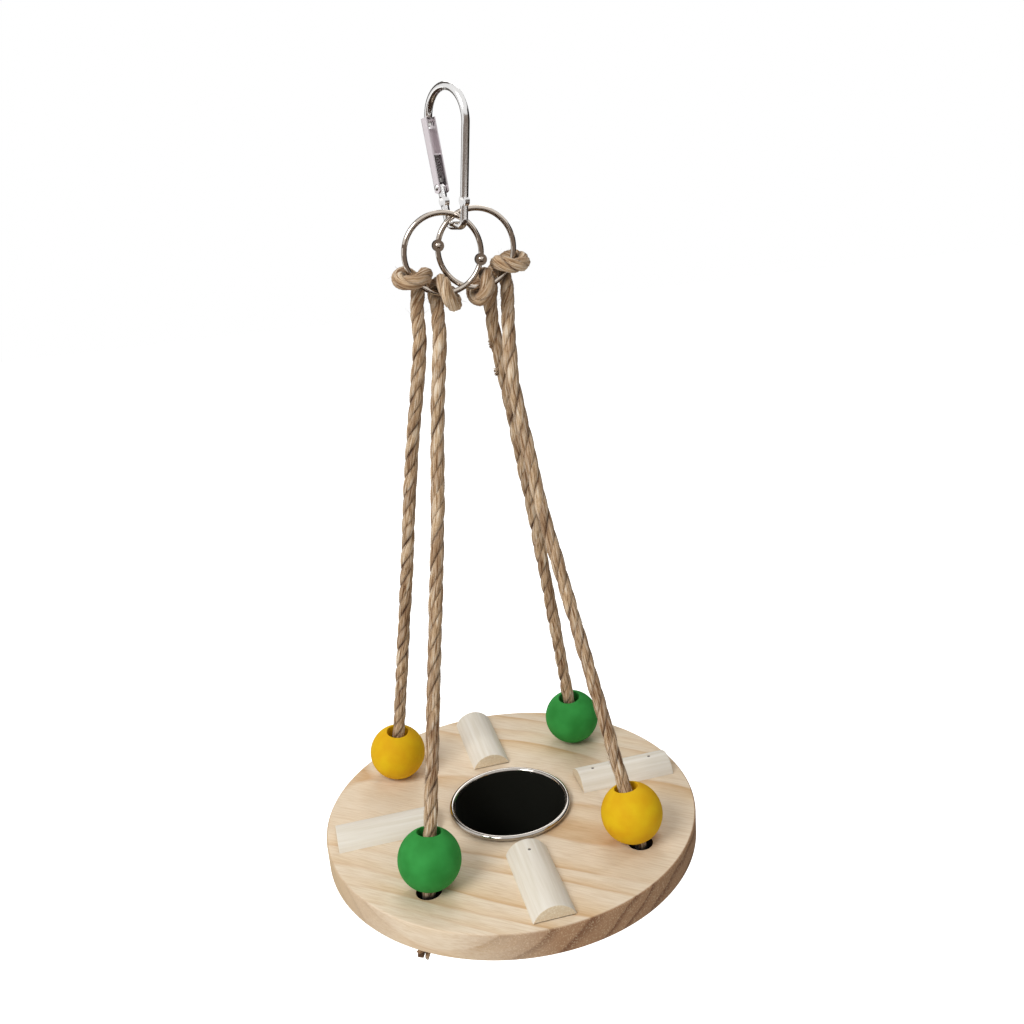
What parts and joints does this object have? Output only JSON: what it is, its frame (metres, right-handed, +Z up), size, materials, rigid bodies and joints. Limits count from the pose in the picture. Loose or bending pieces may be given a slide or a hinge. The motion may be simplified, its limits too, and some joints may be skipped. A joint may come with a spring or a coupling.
{
  "type": "hanging bird swing",
  "caption": "Hanging round wooden bird swing with a lift-out steel cup, perches and sliding beads on jute ropes, hung from hinged rings on a spring-gate snap hook.",
  "frame": {"origin": "inside crown of the snap hook's bow, where the swing hangs from its support", "axes": "+Z up; X and Y along the two pairs of perches; the hinged rings lie in planes square to Y"},
  "size_m": [0.16, 0.16, 0.3294],
  "materials": {
    "hook_metal": "satin",
    "spring_steel": "satin",
    "ring_metal": "polished nickel",
    "jute": "twisted natural fibre",
    "yellow_bead": "yellow stain, satin",
    "green_bead": "green stain, satin",
    "pine": "sanded, bare",
    "cream_wood": "sanded, bare",
    "cup_steel": "polished stainless",
    "nail_steel": "dull"
  },
  "bodies": {
    "hook": {"hook_frame": "hook_metal", "gate_rivet": "hook_metal"},
    "gate": {"hook_gate": "hook_metal", "gate_spring": "spring_steel", "gate_pusher": "spring_steel"},
    "swing": {"left_ring_lower": "ring_metal", "left_ring_pin": "ring_metal", "right_ring_lower": "ring_metal", "right_ring_pin": "ring_metal", "left_rope": "jute", "right_rope": "jute", "knot_back_left": "jute", "knot_front_left": "jute", "knot_back_right": "jute", "knot_front_right": "jute", "platform": "pine", "perch_right": "cream_wood", "perch_back": "cream_wood", "perch_left": "cream_wood", "perch_front": "cream_wood", "perch_nails": "nail_steel"},
    "left_ring_top": {"left_ring_upper": "ring_metal"},
    "right_ring_top": {"right_ring_upper": "ring_metal"},
    "cup": {"cup": "cup_steel"},
    "bead_back_left": {"bead_back_left": "yellow_bead"},
    "bead_front_left": {"bead_front_left": "green_bead"},
    "bead_back_right": {"bead_back_right": "green_bead"},
    "bead_front_right": {"bead_front_right": "yellow_bead"}
  },
  "joints": [
    {"name": "gate_hinge", "type": "hinge", "parent": "hook", "child": "gate", "pos_m": [-0.00299, 0.00641, -0.03215], "axis": [0.9063, 0.4226, 0], "range_deg": [0, 30], "stiffness_Nm_per_rad": 0.004, "springref_deg": -20.05},
    {"name": "swing_hinge", "type": "hinge", "parent": "hook", "child": "swing", "pos_m": [0, 0, -0.04565], "axis": [0.4226, -0.9063, 0], "range_deg": [-20, 20]},
    {"name": "left_ring_hinge", "type": "hinge", "parent": "swing", "child": "left_ring_top", "pos_m": [0.00763, -0.0013, -0.0582], "axis": [0, 1, 0], "range_deg": [0, 45]},
    {"name": "right_ring_hinge", "type": "hinge", "parent": "swing", "child": "right_ring_top", "pos_m": [-0.00725, 0.0013, -0.0521], "axis": [0, -1, 0], "range_deg": [0, 45]},
    {"name": "bead_back_left_slide", "type": "slide", "parent": "swing", "child": "bead_back_left", "axis": [0.1238, -0.1726, 0.9772], "range_m": [0, 0.1]},
    {"name": "bead_front_left_slide", "type": "slide", "parent": "swing", "child": "bead_front_left", "axis": [0.1604, 0.2182, 0.9626], "range_m": [0, 0.1]},
    {"name": "bead_back_right_slide", "type": "slide", "parent": "swing", "child": "bead_back_right", "axis": [-0.1369, -0.1565, 0.9781], "range_m": [0, 0.1]},
    {"name": "bead_front_right_slide", "type": "slide", "parent": "swing", "child": "bead_front_right", "axis": [-0.1528, 0.2546, 0.9549], "range_m": [0, 0.1]},
    {"name": "cup_lift", "type": "slide", "parent": "swing", "child": "cup", "axis": [0, 0, 1], "range_m": [0, 0.045]}
  ]
}
